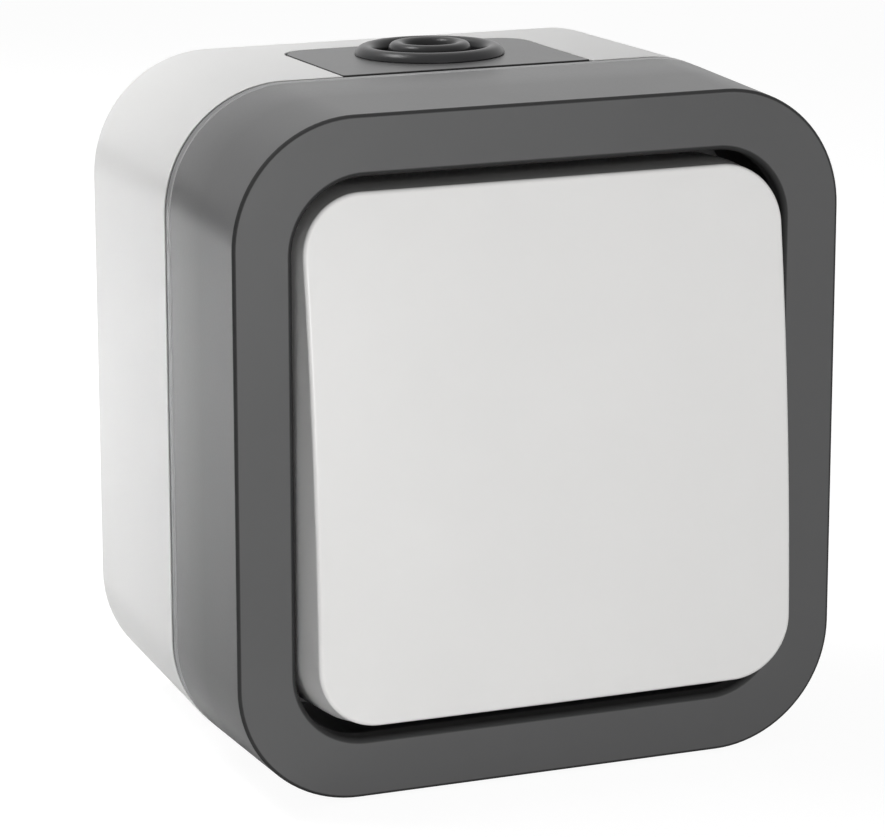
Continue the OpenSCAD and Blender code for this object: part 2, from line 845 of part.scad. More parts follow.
// Ear that carries one trunnion of the cradle
module ear() {
    foot = ear_y + ear_foot;
    translate([-ear_t / 2, 0, 0]) rotate([90, 0, 90]) linear_extrude(ear_t) {
        translate([0, z_pivot]) circle(ear_y);
        polygon([[-foot, z_cover_top - slip], [foot, z_cover_top - slip],
                 [ear_y, z_cover_top + ear_foot], [ear_y, z_pivot],
                 [-ear_y, z_pivot], [-ear_y, z_cover_top + ear_foot]]);
    }
}

module support_plate() {
    color("lightsteelblue") stand() difference() {
        slab(support_half_x, support_half_y, support_r, z_plate, z_plate_top);
        slab(aperture_x, aperture_y, cover_r, z_plate - overrun, z_plate_top + overrun);
        for (i = [-1, 1]) {
            translate([i * support_x, i * support_y, z_plate - slip])
                cylinder(r1 = screw_hole_r - slip, r2 = flat_r + 2 * slip, h = plate_t + 2 * slip);
            post(i * mech_screw_x, -i * mech_screw_y, mech_screw_r + slip,
                 z_plate - overrun, z_plate_top + overrun);
        }
    }
}

// Places of the three terminals: upper and lower contact on the left, common on the right
terminals = [[-terminal_x, button_y], [-terminal_x, -button_y], [terminal_x, 0]];

module mechanism_base() {
    side = mech_w / 2;
    color("ivory") stand() difference() {
        slab(side, mech_h / 2, mech_corner_r, z_mech, z_plate);
        slab(cavity_x, cavity_y, mech_corner_r, z_strip, z_plate + overrun);
        for (t = terminals) {
            out = sign(t[0]);
            translate([t[0], t[1], 0]) {
                bar(-clamp_x / 2 - clamp_slip, clamp_x / 2 + clamp_slip,
                    -clamp_y / 2 - clamp_slip, clamp_y / 2 + clamp_slip,
                    z_clamp, z_plate + overrun);
                post(0, 0, terminal_head_r + well_r_slip, z_mech - overrun,
                     z_mech + terminal_head_z + terminal_head_h + well_step);
                post(0, 0, screw_r + well_r_slip, z_mech, z_clamp + overrun);
                translate([0, 0, (z_clamp + z_strip) / 2]) rotate([0, out * 90, 0])
                    cylinder(r = port_r, h = side);
            }
            bar(min(0, t[0]), max(0, t[0]), t[1] - strip_w / 2 - strip_slip,
                t[1] + strip_w / 2 + strip_slip, z_strip, z_plate + overrun);
        }
        for (i = [-1, 1])
            post(i * mech_screw_x, -i * mech_screw_y, mech_screw_r + slip,
                 z_cover_top - mech_screw_l - pilot_over, z_plate + overrun);
    }
}

// Place a piece of the contact lever, drawn level about its own pivot
module at_lever() {
    translate([0, 0, z_lever]) rotate([lever_rest, 0, 0]) children();
}

module contact_lever() {
    reach = lever_arm + lever_end;
    color("goldenrod") stand() at_lever() difference() {
        union() {
            bar(-lever_half_x, lever_half_x, -lever_arm, lever_arm, -lever_t, 0);
            bar(-lever_hub_x, lever_hub_x, -lever_hub_y, lever_hub_y, -lever_t, 0);
            for (j = [-1, 1])
                intersection() {
                    post(0, j * lever_arm, lever_half_x, -lever_t, 0);
                    bar(-lever_half_x, lever_half_x, -reach, reach, -lever_t, 0);
                }
            for (i = [-1, 1])
                translate([i * pin_in, 0, 0]) rotate([0, i * 90, 0])
                    cylinder(r = pin_r, h = lug_x + lug_t - pin_in + slip);
        }
        for (j = [-1, 1])
            post(0, j * lever_arm, contact_stem_r + contact_stem_slip,
                 -lever_t - overrun, overrun);
    }
}

// Silver rivets in the ends of the contact lever, with domed faces
module moving_contacts() {
    color("silver") stand() at_lever()
        for (j = [-1, 1]) translate([0, j * lever_arm, 0]) {
            post(0, 0, contact_stem_r, -lever_t - slip / 2, slip / 2);
            post(0, 0, contact_head_r, 0, contact_head_h);
            intersection() {
                sphere(contact_sphere);
                post(0, 0, contact_r, -contact_sphere - overrun, -lever_t);
            }
        }
}

module common_terminal() {
    top = z_lever + lug_over;
    color("goldenrod") stand() difference() {
        union() {
            bar(-lug_x - lug_t, terminal_x + clamp_x / 2, -strip_w / 2, strip_w / 2,
                z_strip, z_strip + strip_t);
            for (i = [-1, 1])
                bar(i * (lug_x + lug_t / 2) - lug_t / 2, i * (lug_x + lug_t / 2) + lug_t / 2,
                    -lug_y, lug_y, z_strip, top);
        }
        translate([-lug_x - 2 * lug_t, 0, z_lever]) rotate([0, 90, 0])
            cylinder(r = pin_r + pin_slip, h = 2 * lug_x + 4 * lug_t);
    }
}

// Brass strip that carries a fixed contact and runs into its clamp
module contact_strip(side) {
    y = side * button_y;
    difference() {
        bar(-terminal_x - clamp_x / 2, strip_over, y - strip_w / 2, y + strip_w / 2,
            z_strip, z_strip + strip_t);
        post(0, y, contact_stem_r + contact_stem_slip, z_strip - overrun,
             z_strip + strip_t + overrun);
    }
}

module upper_contact_strip() {
    color("goldenrod") stand() contact_strip(1);
}

module lower_contact_strip() {
    color("goldenrod") stand() contact_strip(-1);
}

// Silver buttons on the two contact strips
module fixed_contacts() {
    color("silver") stand()
        for (j = [-1, 1]) {
            post(0, j * button_y, contact_r, z_strip + strip_t, z_button);
            post(0, j * button_y, contact_stem_r, z_strip, z_button);
        }
}

module terminal_clamps() {
    color("gold") stand()
        for (t = terminals) translate([t[0], t[1], 0]) difference() {
            bar(-clamp_x / 2, clamp_x / 2, -clamp_y / 2, clamp_y / 2, z_clamp, z_clamp + clamp_h);
            bar(-clamp_x / 2 - overrun, clamp_x / 2 + overrun,
                clamp_wall - clamp_y / 2, clamp_y / 2 - clamp_wall,
                z_clamp + clamp_wall, z_clamp + clamp_h - clamp_wall);
            post(0, 0, screw_r + clamp_seat, z_clamp - overrun, z_clamp + 2 * clamp_wall);
        }
}

// Screw with its head at the origin and its shank along z, with a slot in the head
module slotted_screw(r, length, head_r, head_h) {
    difference() {
        union() {
            translate([0, 0, -slip]) cylinder(r = r, h = length + slip);
            translate([0, 0, -head_h]) cylinder(r = head_r, h = head_h);
        }
        bar(-head_r - overrun, head_r + overrun, -slot_w / 2, slot_w / 2,
            -head_h - overrun, slot_depth - head_h);
    }
}

module terminal_screws() {
    z = z_mech + terminal_head_z + terminal_head_h;
    color("silver") stand()
        for (t = terminals) translate([t[0], t[1], z])
            slotted_screw(screw_r, terminal_screw_l, terminal_head_r, terminal_head_h);
}

module mechanism_screws() {
    color("silver") stand()
        for (i = [-1, 1])
            translate([i * mech_screw_x, -i * mech_screw_y, z_cover_top - mech_head_h])
                rotate([180, 0, 0])
                    slotted_screw(mech_screw_r, mech_screw_l, mech_head_r, mech_head_h);
}

// Countersunk screws that hold the support plate on the housing's posts
module support_screws() {
    color("silver") stand()
        for (i = [-1, 1]) translate([i * support_x, i * support_y, z_plate_top]) rotate([180, 0, 0])
            difference() {
                union() {
                    cylinder(r1 = flat_r, r2 = screw_core, h = plate_t);
                    cylinder(r = screw_core, h = support_screw_l);
                }
                bar(-flat_r - overrun, flat_r + overrun, -slot_w / 2, slot_w / 2,
                    -overrun, slot_depth);
            }
}

module carrier_screws() {
    color("silver") stand()
        for (i = [-1, 1])
            translate([i * carrier_screw_x, -i * carrier_screw_y, z_floor_top])
                rotate([180, 0, 0])
                    slotted_screw(screw_core, carrier_screw_l, pan_r, pan_h);
}

rear_housing();
entry_plate();
cable_grommet();
screw_seals();
housing_gasket();
seal_carrier();
throat_seal();
front_frame();
rocker();
rocker_cradle();
plunger();
plunger_spring();
mechanism_cover();
support_plate();
mechanism_base();
contact_lever();
moving_contacts();
common_terminal();
upper_contact_strip();
lower_contact_strip();
fixed_contacts();
terminal_clamps();
terminal_screws();
mechanism_screws();
support_screws();
carrier_screws();
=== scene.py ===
"""Dresses a wall-mounted weatherproof rocker switch and sets it in a plain studio.

Shapes are worked out in millimetres, as the switch lies on its back: x to the right, y up
towards the cable entry and z out of the wall. stand() turns them upright and into metres.
"""

import json

import bmesh
import bpy
import numpy as np
from bpy.props import FloatProperty, FloatVectorProperty, PointerProperty
from mathutils import Euler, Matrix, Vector


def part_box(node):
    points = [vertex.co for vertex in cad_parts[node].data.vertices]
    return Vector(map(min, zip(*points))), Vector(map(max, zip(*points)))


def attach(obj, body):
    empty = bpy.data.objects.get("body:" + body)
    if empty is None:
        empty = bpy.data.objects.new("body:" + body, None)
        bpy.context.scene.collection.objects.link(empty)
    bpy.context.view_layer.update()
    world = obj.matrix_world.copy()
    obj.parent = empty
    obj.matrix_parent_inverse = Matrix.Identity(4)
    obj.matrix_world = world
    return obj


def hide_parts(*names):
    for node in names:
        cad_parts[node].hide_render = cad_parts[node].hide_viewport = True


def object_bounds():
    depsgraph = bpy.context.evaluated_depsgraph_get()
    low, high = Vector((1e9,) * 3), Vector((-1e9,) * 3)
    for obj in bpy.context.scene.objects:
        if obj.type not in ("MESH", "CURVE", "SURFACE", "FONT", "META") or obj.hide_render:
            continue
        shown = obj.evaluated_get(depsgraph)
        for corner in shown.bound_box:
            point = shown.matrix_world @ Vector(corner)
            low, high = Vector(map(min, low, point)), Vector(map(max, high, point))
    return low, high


bl_info = {
    "name": "Weatherproof Rocker Switch",
    "version": (1, 0, 0),
    "blender": (4, 5, 0),
    "location": "View3D > Sidebar > Switch",
    "description": "Moulded pieces, finishes and studio of a weatherproof rocker switch",
    "category": "Object",
}

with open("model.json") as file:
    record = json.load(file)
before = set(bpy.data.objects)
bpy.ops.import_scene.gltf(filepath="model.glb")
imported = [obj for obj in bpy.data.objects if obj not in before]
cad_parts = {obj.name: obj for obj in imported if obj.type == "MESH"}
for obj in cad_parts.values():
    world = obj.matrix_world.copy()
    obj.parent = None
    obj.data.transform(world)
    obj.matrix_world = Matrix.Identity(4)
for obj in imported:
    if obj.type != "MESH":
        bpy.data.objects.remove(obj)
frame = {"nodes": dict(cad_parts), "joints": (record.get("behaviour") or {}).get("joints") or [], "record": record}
cad_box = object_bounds()
MM = 0.001
housing_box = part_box("rear_housing")
frame_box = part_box("front_frame")
pivot_depth = -next(j for j in frame["joints"] if j["name"] == "rocker_tilt")["pos_m"][1]


# Sizes and colours that a user would change

def length(name, default, description):
    """A length in metres, which the panel shows in the scene's own unit."""
    return FloatProperty(name=name, description=description, default=default, precision=5,
                         unit="LENGTH")


def colour(name, default, description):
    """A colour with linear red, green and blue."""
    return FloatVectorProperty(name=name, description=description, default=default,
                               size=3, min=0.0, max=1.0, subtype="COLOR")


class SwitchBoxSizes(bpy.types.PropertyGroup):
    joint_width: length("Joint width", housing_box[1].x - housing_box[0].x,
                        "Width of the box where housing and frame meet")
    joint_height: length("Joint height", -2 * housing_box[0].z,
                         "Height of the box where housing and frame meet")
    joint_depth: length("Joint depth", 0.0298, "Distance of the joint from the wall")
    front_depth: length("Front depth", -frame_box[0].y, "Distance of the front from the wall")
    corner: length("Corner radius", 0.0147, "Radius of the four long corners")
    rear_draft: length("Rear draft", 0.0006, "How far each side draws in towards the wall")
    front_draft: length("Front draft", 0.00044, "How far each side draws in towards the front")
    wall: length("Housing wall", 0.0023, "Thickness of the housing's walls")
    floor: length("Housing back", 0.0026, "Thickness of the housing's back")
    frame_wall: length("Frame wall", 0.0022, "Thickness of the frame's sides")
    frame_face: length("Frame face", 0.0024, "Thickness of the frame's front")
    border: length("Frame border", 0.0071, "Width of the frame's front round its opening")
    opening_corner: length("Opening corner", 0.0086, "Corner radius of the frame's opening")
    front_edge: length("Front edge", 0.00037, "Rounding of the frame's outer front edge")
    opening_edge: length("Opening edge", 0.0006, "Rounding of the opening's edge")
    band: length("Band", 0.0018, "Depth of the set-back band next to the joint")
    groove: length("Groove", 0.0002, "Depth of the groove in front of the band")
    rim: length("Rear rim", 0.003, "Width of the rim round the recess in the back")
    recess: length("Recess", 0.0008, "Depth of the recess in the back")
    hole_side: length("Hole to side", 0.01765, "Distance of each wall hole from the side")
    hole_end: length("Hole to end", 0.00915, "Distance of each wall hole from the end")


class SwitchRockerSizes(bpy.types.PropertyGroup):
    side_gap: length("Side gap", 0.0008, "Gap between rocker and frame at each side")
    end_gap: length("End gap", 0.00235, "Gap between level rocker and frame at each end")
    corner: length("Corner radius", 0.0073, "Radius of the rocker's corners")
    crown: length("Crown radius", 0.379, "Radius of the face from its upper to its lower end")
    side_crown: length("Side crown", 0.0003, "How far the face falls at its sides")
    rise: length("Rise", 0.01168, "Height of the face above the pivot")
    skirt: length("Skirt", 0.0156, "Depth of the skirt behind the edge of the face")
    flare: length("Flare", 0.0005, "How far the skirt stands out behind the edge")
    wall: length("Wall", 0.0018, "Thickness of the rocker")
    edge: length("Edge rounding", 0.00045, "Rounding of the edge of the face")
    lean: FloatProperty(name="Lean", description="Angle by which the rocker leans from level",
                        default=float(np.radians(4.955)), subtype="ANGLE")


class SwitchEntrySizes(bpy.types.PropertyGroup):
    width: length("Plate width", 0.032, "Width of the entry plate")
    rear: length("Plate rear", 0.0063, "Distance of the plate's rear edge from the wall")
    corner: length("Plate corner", 0.004, "Radius of the plate's rear corners")
    middle: length("Plate offset", 0.0002, "Plate's middle, right of the box's middle")
    gap: length("Plate gap", 0.0005, "Gap between the plate and the frame")
    bead: length("Bead radius", 0.0091, "Outer radius of the grommet's outer bead")
    bead_z: length("Grommet place", 0.016, "Distance of the grommet's axis from the wall")
    bead_x: length("Grommet offset", 0.0006, "Grommet's axis, right of the box's middle")


class SwitchColours(bpy.types.PropertyGroup):
    light: colour("Light plastic", (0.755, 0.752, 0.745), "Rear housing")
    face: colour("Rocker plastic", (0.755, 0.750, 0.741), "Rocker")
    dark: colour("Dark plastic", (0.088, 0.088, 0.089), "Front frame and entry plate")
    rubber: colour("Rubber", (0.028, 0.028, 0.029), "Grommet and seals")
    tray: colour("Tray", (0.034, 0.034, 0.035), "Tray round the mechanism")


class SwitchStudio(bpy.types.PropertyGroup):
    surround: FloatProperty(name="Surround", default=0.15, min=0.0,
                            description="Level of the white room as it lights the switch")
    left_lamp: FloatProperty(name="Left lamp", default=0.3, min=0.0, unit="POWER",
                             description="Power of the wide lamp at the left, a little behind")
    top_lamp: FloatProperty(name="Top lamp", default=0.45, min=0.0, unit="POWER",
                            description="Power of the lamp above, at the left and behind")
    front_lamp: FloatProperty(name="Front lamp", default=4.8, min=0.0, unit="POWER",
                              description="Power of the low lamp in front")
    floor_lamp: FloatProperty(name="Floor lamp", default=1.6, min=0.0, unit="POWER",
                              description="Power of the lamp over the floor at the left, behind")
    background: FloatProperty(name="Background", default=1.0, min=0.0,
                              description="White of the room as the camera sees it")


def in_millimetres(group):
    """The float properties of a group, from metres to millimetres."""
    values = {name: getattr(group, name) for name in group.bl_rna.properties.keys()}
    return {name: value / MM for name, value in values.items() if isinstance(value, float)}


class Box:
    """The box's sizes in millimetres, with the outlines that follow from them."""

    def __init__(self, scene):
        self.__dict__.update(in_millimetres(scene.switch_box))
        self.joint_x, self.joint_y = self.joint_width / 2, self.joint_height / 2
        self.front_x = self.joint_x - self.front_draft
        self.front_y = self.joint_y - self.front_draft
        self.opening = np.array([self.front_x - self.border, self.front_y - self.border,
                                 self.opening_corner])
        self.hole = np.array([self.front_x - self.hole_side, self.front_y - self.hole_end])

    def draft(self, level):
        """How far the side lies inside the joint's line: a straight run to back and front."""
        ahead = (level - self.joint_depth) / (self.front_depth - self.joint_depth)
        behind = 1 - level / self.joint_depth
        return np.where(ahead < 0, self.rear_draft * behind, self.front_draft * ahead)

    def row(self, inset, level):
        """Half width, half height, corner radius and level of the outline, drawn in."""
        back = inset + float(self.draft(level))
        return [self.joint_x - back, self.joint_y - back, self.corner - inset, level]

    def side_y(self, level):
        """How far the upper side lies from the middle at a level."""
        return self.joint_y - self.draft(level)

    def opening_row(self, out, level):
        return [*(self.opening + out), level]


# Shapes as functions on grids

def stand(points):
    """Turns points from lying to upright: (x, y, z) becomes (x, -z, y), in metres."""
    return np.stack([points[..., 0], -points[..., 2], points[..., 1]], axis=-1) * MM


def between(a, b, share):
    return a + (b - a) * share


def quarter(steps=6):
    """Pairs (1 - cos, 1 - sin) of angles from 0 to a right angle: a rounding of radius 1."""
    angle = np.linspace(0, np.pi / 2, steps + 1)
    return np.column_stack([1 - np.cos(angle), 1 - np.sin(angle)])


def round_way(stops, arc=24):
    """Way round a rounded rectangle, anticlockwise from its right side.

    Each column holds the signs of a corner's centre and an outward direction. On a corner
    the direction turns through a right angle; on a straight the signs run over to the next
    corner, in as many even steps as stops says.
    """
    shares = np.arange(1, stops) / stops
    turn = np.concatenate([np.linspace(0, 1, arc + 1), np.ones(stops - 1)])
    shift = np.concatenate([np.zeros(arc + 1), shares])
    angle = (np.arange(4)[:, None] + turn).ravel() * np.pi / 2
    start = np.array([[1, 1], [-1, 1], [-1, -1], [1, -1]], float)
    centre = between(start[:, None], np.roll(start, -1, axis=0)[:, None], shift[:, None])
    return np.column_stack([centre.reshape(-1, 2), np.cos(angle), np.sin(angle)])


def carry(rows, way):
    """Profile carried round: signs times (half size less radius), plus radius times direction."""
    x, y, r, level = np.asarray(rows, float).T[:, :, None]
    return np.stack([way[:, 0] * (x - r) + r * way[:, 2],
                     way[:, 1] * (y - r) + r * way[:, 3],
                     level + 0 * way[:, 0]], axis=-1)


def on_circle(outline, centre, radius):
    """Points of a circle in the directions of an outline's points, as seen from its centre."""
    out = outline - centre
    return centre + radius * out / np.linalg.norm(out, axis=1, keepdims=True)


def turned(profile, columns=96):
    """Profile of radius and height turned about an upright axis."""
    angle = np.arange(columns) * 2 * np.pi / columns
    radius, height = np.asarray(profile, float).T[:, :, None]
    return np.stack([radius * np.cos(angle), radius * np.sin(angle), height + 0 * angle], axis=-1)


class Shell:
    """Grids of points gathered into one closed mesh. Each row may carry a mark, which a finish reads as painted
    light: above 0 on an edge whose colour it scales, painted shade there, below 0 where it paints a pale glint, a
    painted highlight."""

    def __init__(self):
        self.points, self.faces, self.marks, self.count = [], [], [], 0

    def grid(self, points, close=(False, False), keep=None, mark=0.0):
        """Adds a grid whose neighbouring points make its faces. keep is false where a face
        is left out."""
        rows, columns = points.shape[:2]
        i = np.arange(rows if close[0] else rows - 1)[:, None]
        j = np.arange(columns if close[1] else columns - 1)[None, :]
        right, down = (j + 1) % columns, (i + 1) % rows
        corners = (i * columns + j, i * columns + right, down * columns + right,
                   down * columns + j)
        quads = np.stack(np.broadcast_arrays(*corners), axis=-1)
        quads = quads.reshape(-1, 4) if keep is None else quads[keep]
        self.points.append(points.reshape(-1, 3))
        self.faces.append(quads + self.count)
        marks = np.broadcast_to(np.asarray(mark, float).reshape(-1, 1), (rows, columns))
        self.marks.append(marks.ravel())
        self.count += rows * columns

    def piece(self, name, body, slot, finish, node):
        """One upright mesh from all grids. Points that meet are merged, and all faces of the
        closed form turn outwards."""
        points = np.round(np.concatenate(self.points), 5)
        points, first, where = np.unique(points, axis=0, return_index=True, return_inverse=True)
        quads = where.ravel()[np.concatenate(self.faces)]
        same = quads == np.roll(quads, -1, axis=1)
        once = same.sum(axis=1) == 1
        thirds = [quads[same[:, k] & once][:, [j for j in range(4) if j != k]] for k in range(4)]
        faces = quads[~same.any(axis=1)].tolist() + np.concatenate(thirds).tolist()
        mesh = bpy.data.meshes.new(name)
        mesh.from_pydata(stand(points), [], faces)
        marks = mesh.attributes.new("painted_shade_and_glint", "FLOAT", "POINT")
        marks.data.foreach_set("value", np.concatenate(self.marks)[first].astype(np.float32))
        form = bmesh.new()
        form.from_mesh(mesh)
        bmesh.ops.recalc_face_normals(form, faces=form.faces)
        loose = sum(not edge.is_manifold for edge in form.edges)
        form.to_mesh(mesh)
        form.free()
        if loose:
            print(name, "has open edges:", loose)
        mesh.polygons.foreach_set("use_smooth", np.ones(len(mesh.polygons), bool))
        mesh.set_sharp_from_angle(angle=np.radians(32))
        mesh.materials.append(finish)
        made = bpy.data.objects.new(name, mesh)
        bpy.context.scene.collection.objects.link(made)
        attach(made, body)
        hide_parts(node)
        return made


def notch_line(entry, levels, count, grow):
    """The entry notch as a U of points (x, z): down its left side at the given levels, across
    in count points, and up its right side. Behind its straights, each point turns about the
    corner's middle: x and z are that middle plus the radius times sine and cosine."""
    half, r = entry["width"] / 2, entry["corner"]
    straight, middle_z = half - r, entry["rear"] + r
    turn = np.clip((middle_z - levels) / (middle_z - levels.min()), 0, 1) * np.pi / 4
    side = np.column_stack([-straight - (r + grow) * np.cos(turn),
                            np.where(turn > 0, middle_z - (r + grow) * np.sin(turn), levels)])
    reach = np.linspace(-1, 1, count) * (half + r)
    turn = np.clip((np.abs(reach) - straight) / (2 * r), 0, 1) * np.pi / 4
    bent = np.sign(reach) * (straight + (r + grow) * np.sin(turn))
    across = np.column_stack([np.where(turn > 0, bent, reach),
                              middle_z - (r + grow) * np.cos(turn)])
    line = np.concatenate([side[::-1], across[1:-1], side * [-1, 1]])
    return line + [entry["middle"], 0]


def add_tongue(shell, box, entry, way, inside):
    """The ring that reaches from the housing into the frame: a closed section carried along
    the outline, inside the entry's width or outside it."""
    x, y, r = (v - box.frame_wall - 0.2 for v in (box.joint_x, box.joint_y, box.corner))
    low, high = box.joint_depth - 3.8, box.joint_depth + 3.16
    ring = carry([[x, y, r, low], [x, y, r, high], [x - 1.3, y - 1.3, r - 1.3, high],
                  [x - 1.3, y - 1.3, r - 1.3, low]], way)
    ring = np.roll(ring, way.shape[0] // 4, axis=1)
    half = entry["width"] / 2 + (-0.3 if inside else 0.3)
    within = (ring[0, :, 1] > y - 0.01) & (np.abs(ring[0, :, 0] - entry["middle"]) < half)
    ring = ring[:, within] if inside else np.roll(ring, -np.flatnonzero(within)[-1] - 1, axis=1)
    ring = ring if inside else ring[:, :len(way) - within.sum()]
    shell.grid(ring, close=(True, False))
    for end in (ring[:, 0], ring[:, -1]):
        shell.grid(np.stack([end[:2], end[[3, 2]]]))


def housing_shell(box, entry):
    """Rear housing: its wall is the outline carried along the depth, out, over the rim and
    back in. Flat patches, ruled between that outline and the edge of their own hole, fill
    the back, the notch for the entry plate and the knock-out ring."""
    shell = Shell()
    stops, arc = 24, 24
    per = stops + arc
    way = round_way(stops, arc)
    top, edge = box.joint_depth, 0.15
    levels = [3, 3.9, 4.8, 5.7, 6.6, 7.5, 8.4, 9.3, 10.3, 12, 14, 17, 20, 23, 26, 28.4,
              top - edge - 0.04]
    outer = [[0.0, z] for z in levels] + [[edge * a, top - edge * b] for a, b in quarter(4)]
    inner = [[box.wall, z] for _, z in outer[::-1]]
    back = [[box.rim, box.recess], [box.rim, 0.15], [box.rim - 0.15, 0.0], [0.44, 0.0]]
    back += [[0.4 * b, 0.4 * a] for a, b in quarter(5)]
    back += [[0.0, 0.44]]
    rows = [box.row(*pair) for pair in back + outer + inner + [[box.wall, box.floor]]]
    side = carry(rows, way)
    low, high = len(back), len(back) + len(outer) - 1
    far = high + len(inner)
    right, left = arc + 1, arc + stops - 1
    ring_high, ring_left, ring_right = low + 15, 2 * per + arc + 6, 2 * per + arc + stops - 6
    keep = np.ones((len(rows) - 1, len(way)), bool)
    keep[low:far, right:left] = False
    keep[low:ring_high, ring_left:ring_right] = False
    shell.grid(side, close=(False, True), keep=keep)

    # Notch in the upper side
    def window(rows_out):
        """The window's edge as a U: down its left column, across and up its right one."""
        return np.concatenate([rows_out[::-1, left], rows_out[0, right + 1:left][::-1],
                               rows_out[:, right]])

    z = np.array([pair[1] for pair in outer])
    settle = np.array([pair[0] for pair in outer])
    settle = np.concatenate([settle[::-1], np.zeros(left - right - 1), settle])

    def notch(grow, depth):
        line = notch_line(entry, z, left - right + 1, grow)
        return np.column_stack([line[:, 0], box.side_y(line[:, 1]) - np.maximum(depth, settle),
                                line[:, 1]])

    patch = [window(side[low:high + 1]), notch(edge + 0.04, 0.0)]
    patch += [notch(edge * b, edge * a) for a, b in quarter(4)]
    patch += [notch(0.0, edge + 0.04), notch(0.0, box.wall), window(side[high + 1:far + 1][::-1])]
    patch = np.stack(patch)
    shell.grid(patch)
    for strip in (patch[:, 0], patch[:, -1]):
        count = len(strip) - 2
        shell.grid(np.stack([strip[:count], strip[[-1] + [-2] * (count - 1)]]))

    # Ring in the lower side that can be knocked out for a cable
    rim = side[low:ring_high + 1, ring_left:ring_right + 1]
    rim = np.concatenate([rim[0, :-1], rim[:-1, -1], rim[-1, :0:-1], rim[:0:-1, 0]])[:, [0, 2]]
    middle = np.array([0.0, entry["bead_z"]])
    steps = [(8.1, 0), (8.03, 0.03), (8, 0.1), (8, 0.6), (7, 0.6), (7, 0.1), (6.97, 0.03),
             (6.9, 0), (0, 0)]
    rounds = [(rim, 0.0)] + [(on_circle(rim, middle, r), depth) for r, depth in steps]
    shell.grid(np.stack([np.column_stack([line[:, 0], depth - box.side_y(line[:, 1]), line[:, 1]])
                         for line, depth in rounds]), close=(False, True))

    # Quarters of the back, each round its own screw hole
    seat = box.floor + 1.7
    boss = box.floor + 2.6
    steps = [(4.6, box.recess), (4.6, 0.15), (4.56, 0.04), (4.45, 0), (2.4, 0), (2.29, 0.04),
             (2.25, 0.15), (2.25, seat), (4.1, seat), (4.1, boss), (5.2, boss), (5.2, box.floor)]
    share = np.linspace(1, 0, 9)[:, None]
    for signs in np.array([[1, 1], [-1, 1], [-1, -1], [1, -1]], float):
        outlines = []
        for row in (side[0], side[-1]):
            flat = row[:, :2] * signs
            flat = flat[(flat > -1e-6).all(axis=1)]
            flat = flat[np.argsort(np.arctan2(flat[:, 1], flat[:, 0]))]
            outlines.append(np.concatenate([flat, share[1:] * flat[-1], share[-2:0:-1] * flat[0]]))
        rounds = [(outlines[0], box.recess)]
        rounds += [(on_circle(outlines[0], box.hole, r), level) for r, level in steps]
        rounds += [(outlines[1], box.floor)]
        shell.grid(np.stack([np.column_stack([line * signs, np.full(len(line), level)])
                             for line, level in rounds]), close=(False, True))

    # Inside: screw posts, ribs and the tongue
    slip, from_side, from_end = 0.35, 6.7, 9.7
    carrier_x, carrier_y = box.opening[0] + slip - from_side, box.opening[1] + slip - from_end
    posts = [(24.5, 14.2, 32.96), (carrier_x, -carrier_y, 34.96)]
    for sign in (-1, 1):
        for x, y, high in posts:
            post = turned([(0, 2.5), (3.1, 2.5), (3.1, high - 0.2), (2.9, high), (1.25, high),
                           (1.25, high - 12), (0, high - 12)], 32)
            shell.grid(post + np.array([sign * x, sign * y, 0]), close=(False, True))
        rib = carry([[0, 24.3, 0, 2.5], [0.7, 25, 0.3, 2.5], [0.7, 25, 0.3, 4.2],
                     [0, 24.3, 0, 4.2]], round_way(6, 4))
        shell.grid(rib + np.array([sign * 10, 0, 0]), close=(False, True))
    add_tongue(shell, box, entry, way, inside=False)
    return shell


def plate_line(box, entry, grow, steps=10, stops=10):
    """The entry plate's outline as a closed line of points (x, z): at each corner the middle
    of its arc plus radius times direction, and even steps between corners."""
    half = entry["width"] / 2 - 0.08
    low, high = entry["rear"] + 0.08, box.joint_depth - entry["gap"]
    radii = np.array([0.45, 0.45, entry["corner"] - 0.08, entry["corner"] - 0.08])
    signs = np.array([[1, 1], [-1, 1], [-1, -1], [1, -1]], float)
    angle = np.arange(4)[:, None] * np.pi / 2 + np.linspace(0, np.pi / 2, steps + 1)
    middle = np.column_stack([signs[:, 0] * (half - radii),
                              np.where(signs[:, 1] > 0, high - radii, low + radii)])
    arcs = middle[:, None] + (radii + grow)[:, None, None] * np.stack(
        [np.cos(angle), np.sin(angle)], axis=-1)
    share = np.arange(1, stops)[:, None] / stops
    straights = between(arcs[:, -1:], np.roll(arcs[:, :1], -1, axis=0), share)
    return np.concatenate([arcs, straights], axis=1).reshape(-1, 2) + [entry["middle"], 0]


def plate_shell(box, entry):
    """Entry plate: a surface ruled between its outline and the grommet's hole, carried over
    rounded edges down both of them and closed by its underside."""
    shell = Shell()
    edge, deep, hole = 0.18, 3.6, entry["bead"] - 1.04
    middle = np.array([entry["bead_x"], entry["bead_z"]])
    lines = [(plate_line(box, entry, 0), deep), (plate_line(box, entry, 0), edge + 0.04)]
    lines += [(plate_line(box, entry, -edge * a), edge * b) for a, b in quarter(5)]
    rim = plate_line(box, entry, -edge - 0.04)
    lines += [(rim, 0.0), (on_circle(rim, middle, hole + 2.2), 0.0),
              (on_circle(rim, middle, hole + 0.24), 0.0)]
    lines += [(on_circle(rim, middle, hole + 0.2 * b), 0.2 * a) for a, b in quarter(4)]
    lines += [(on_circle(rim, middle, hole), deep)]
    # Marks of 1 paint shade on the plate's rounded edge, a painted shadow line along its gap.
    marks = [0, 0] + [1] * 6 + [0] * 9
    shell.grid(np.stack([np.column_stack([line[:, 0], box.side_y(line[:, 1]) - depth, line[:, 1]])
                         for line, depth in lines]), close=(True, True), mark=marks)
    add_tongue(shell, box, entry, round_way(24), inside=True)
    return shell


